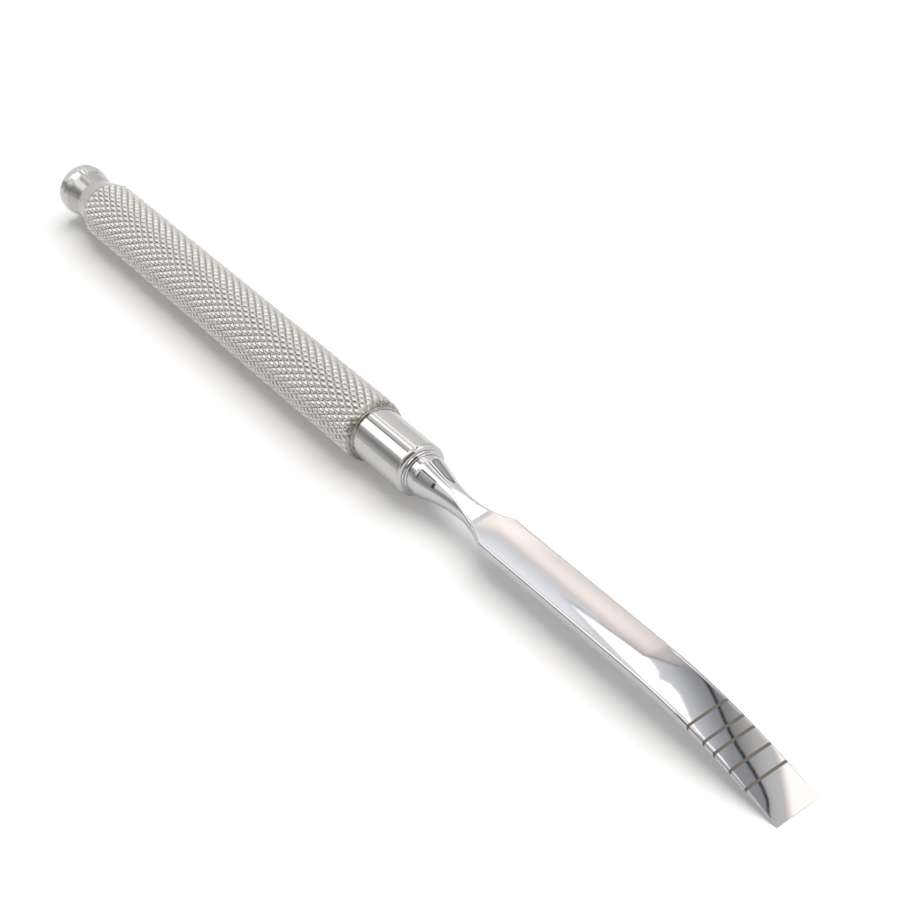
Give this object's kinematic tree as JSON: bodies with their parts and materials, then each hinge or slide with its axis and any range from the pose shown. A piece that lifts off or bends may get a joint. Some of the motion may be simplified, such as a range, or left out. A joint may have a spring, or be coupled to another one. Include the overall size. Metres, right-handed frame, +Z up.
{
  "type": "graduated osteotome",
  "caption": "Surgical osteotome: round knurled handle with a flared striking head, and a flat blade with depth marks whose tip curves down to a straight edge.",
  "frame": {"origin": "on the surface that the instrument lies on, halfway along its length and on its centre plane", "axes": "+X along the handle's axis towards the cutting edge, +Y across the blade, +Z up"},
  "size_m": [0.1888, 0.0104, 0.0105],
  "materials": {
    "handle_steel": "stainless steel, diamond-knurled satin grip, mirror-polished head and collar",
    "blade_steel": "mirror-polished stainless steel with dark engraved depth lines"
  },
  "bodies": {
    "root": {"handle": "handle_steel", "blade": "blade_steel"}
  },
  "joints": []
}
